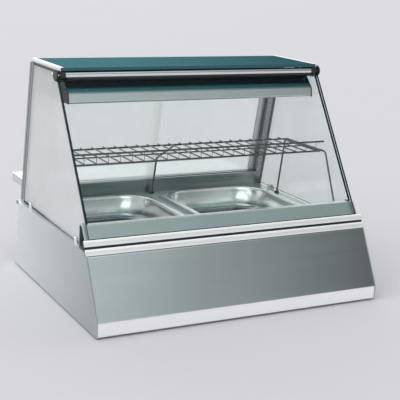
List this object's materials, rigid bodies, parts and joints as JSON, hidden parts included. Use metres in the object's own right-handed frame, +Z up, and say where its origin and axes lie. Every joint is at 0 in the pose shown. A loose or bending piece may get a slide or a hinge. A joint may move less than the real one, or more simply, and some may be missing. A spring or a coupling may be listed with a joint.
{
  "type": "hot food display case",
  "caption": "Countertop heated food display case with a leaning lift-up front glass, wire shelf, heat-lamp canopy, lift-out food pans, sliding rear doors and a rear serving board.",
  "frame": {"origin": "on the worktop, under the middle of the bounding box", "axes": "+X to the right seen from the customer's side, +Y from the customer's side to the serving side, +Z up"},
  "size_m": [0.76, 0.7612, 0.566],
  "materials": {
    "brushed_stainless": "satin, brushed along the width",
    "galvanised_sheet": "dull",
    "bright_pan_steel": "bright",
    "bright_trim": "bright anodised",
    "satin_aluminium": "satin",
    "chrome_tube": "polished",
    "clear_glass": "clear",
    "misted_glass": "clear with a pale veil",
    "tinted_glass": "dark tinted",
    "black_plastic": "satin black",
    "red_rocker": "gloss",
    "rubber_black": "matte",
    "wire_steel": "bright drawn",
    "plain_plate": "satin",
    "amber_lens": "gloss",
    "mineral_mat": "matte",
    "heater_metal": "oxidised",
    "quartz_lamp": "satin quartz",
    "ceramic_white": "glazed",
    "valve_brass": "satin",
    "lever_red": "gloss"
  },
  "bodies": {
    "case": {"board_brackets": "brushed_stainless", "bottom_plate": "galvanised_sheet", "bright_trim_bars": "bright_trim", "cable_gland": "black_plastic", "canopy_end_caps": "black_plastic", "canopy_hangers": "brushed_stainless", "canopy_shell": "brushed_stainless", "control_plate": "plain_plate", "deck": "brushed_stainless", "drain_pipe": "valve_brass", "drain_valve": "valve_brass", "front_coaming": "brushed_stainless", "front_panel": "brushed_stainless", "glass_clamps": "brushed_stainless", "heat_lamps": "quartz_lamp", "heating_element": "heater_metal", "hinge_blocks": "black_plastic", "insulation_mat": "mineral_mat", "lamp_holders": "ceramic_white", "pan_divider": "brushed_stainless", "pilot_lamp": "amber_lens", "rear_lower_rail": "brushed_stainless", "rear_panel": "brushed_stainless", "rear_posts": "brushed_stainless", "rear_upper_rail": "brushed_stainless", "reflector": "bright_pan_steel", "rubber_feet": "rubber_black", "screws": "wire_steel", "serving_board": "brushed_stainless", "side_glass_left": "misted_glass", "side_glass_right": "misted_glass", "side_panel_left": "brushed_stainless", "side_panel_right": "brushed_stainless", "side_rails": "black_plastic", "switch_housings": "black_plastic", "terminal_block": "black_plastic", "thermostat": "black_plastic", "top_edge_trims": "bright_trim", "top_glass": "tinted_glass", "trim_carrier": "black_plastic", "well_tank": "galvanised_sheet"},
    "front_glass_assembly": {"front_glass": "clear_glass", "front_glass_seal": "rubber_black", "hinge_tube": "chrome_tube", "hinge_pins": "chrome_tube", "hinge_discs": "black_plastic"},
    "rear_door_left": {"rear_door_glass_left": "clear_glass", "rear_door_stile_left": "satin_aluminium"},
    "rear_door_right": {"rear_door_glass_right": "clear_glass", "rear_door_stile_right": "satin_aluminium"},
    "food_pan_left": {"food_pan_left": "bright_pan_steel"},
    "food_pan_right": {"food_pan_right": "bright_pan_steel"},
    "shelf": {"shelf_rack": "wire_steel", "shelf_legs": "wire_steel", "shelf_feet": "black_plastic"},
    "thermostat_knob": {"thermostat_knob": "black_plastic"},
    "light_switch_rocker": {"light_switch_rocker": "red_rocker"},
    "heat_switch_rocker": {"heat_switch_rocker": "red_rocker"},
    "drain_lever": {"drain_lever": "lever_red"}
  },
  "joints": [
    {"name": "front_glass_lift", "type": "hinge", "parent": "case", "child": "front_glass_assembly", "pos_m": [0, -0.06558, 0.5465], "axis": [-1, 0, 0], "range_deg": [0, 85]},
    {"name": "left_door_slide", "type": "slide", "parent": "case", "child": "rear_door_left", "axis": [1, 0, 0], "range_m": [0, 0.33]},
    {"name": "right_door_slide", "type": "slide", "parent": "case", "child": "rear_door_right", "axis": [-1, 0, 0], "range_m": [0, 0.33]},
    {"name": "left_pan_lift", "type": "slide", "parent": "case", "child": "food_pan_left", "axis": [0, -0.0995, 0.995], "range_m": [0, 0.068]},
    {"name": "right_pan_lift", "type": "slide", "parent": "case", "child": "food_pan_right", "axis": [0, -0.0995, 0.995], "range_m": [0, 0.068]},
    {"name": "shelf_lift", "type": "slide", "parent": "case", "child": "shelf", "axis": [0, 0, 1], "range_m": [0, 0.03]},
    {"name": "thermostat_turn", "type": "hinge", "parent": "case", "child": "thermostat_knob", "pos_m": [0.235, 0.21548, 0.03523], "axis": [0, -0.9785, -0.2062], "range_deg": [0, 270]},
    {"name": "light_switch_press", "type": "hinge", "parent": "case", "child": "light_switch_rocker", "pos_m": [0.09, 0.21695, 0.03554], "axis": [1, 0, 0], "range_deg": [0, 16]},
    {"name": "heat_switch_press", "type": "hinge", "parent": "case", "child": "heat_switch_rocker", "pos_m": [0.135, 0.21695, 0.03554], "axis": [1, 0, 0], "range_deg": [0, 16]},
    {"name": "drain_lever_turn", "type": "hinge", "parent": "case", "child": "drain_lever", "pos_m": [-0.23, 0.23529, 0.06], "axis": [0, 0, 1], "range_deg": [0, 90]}
  ]
}
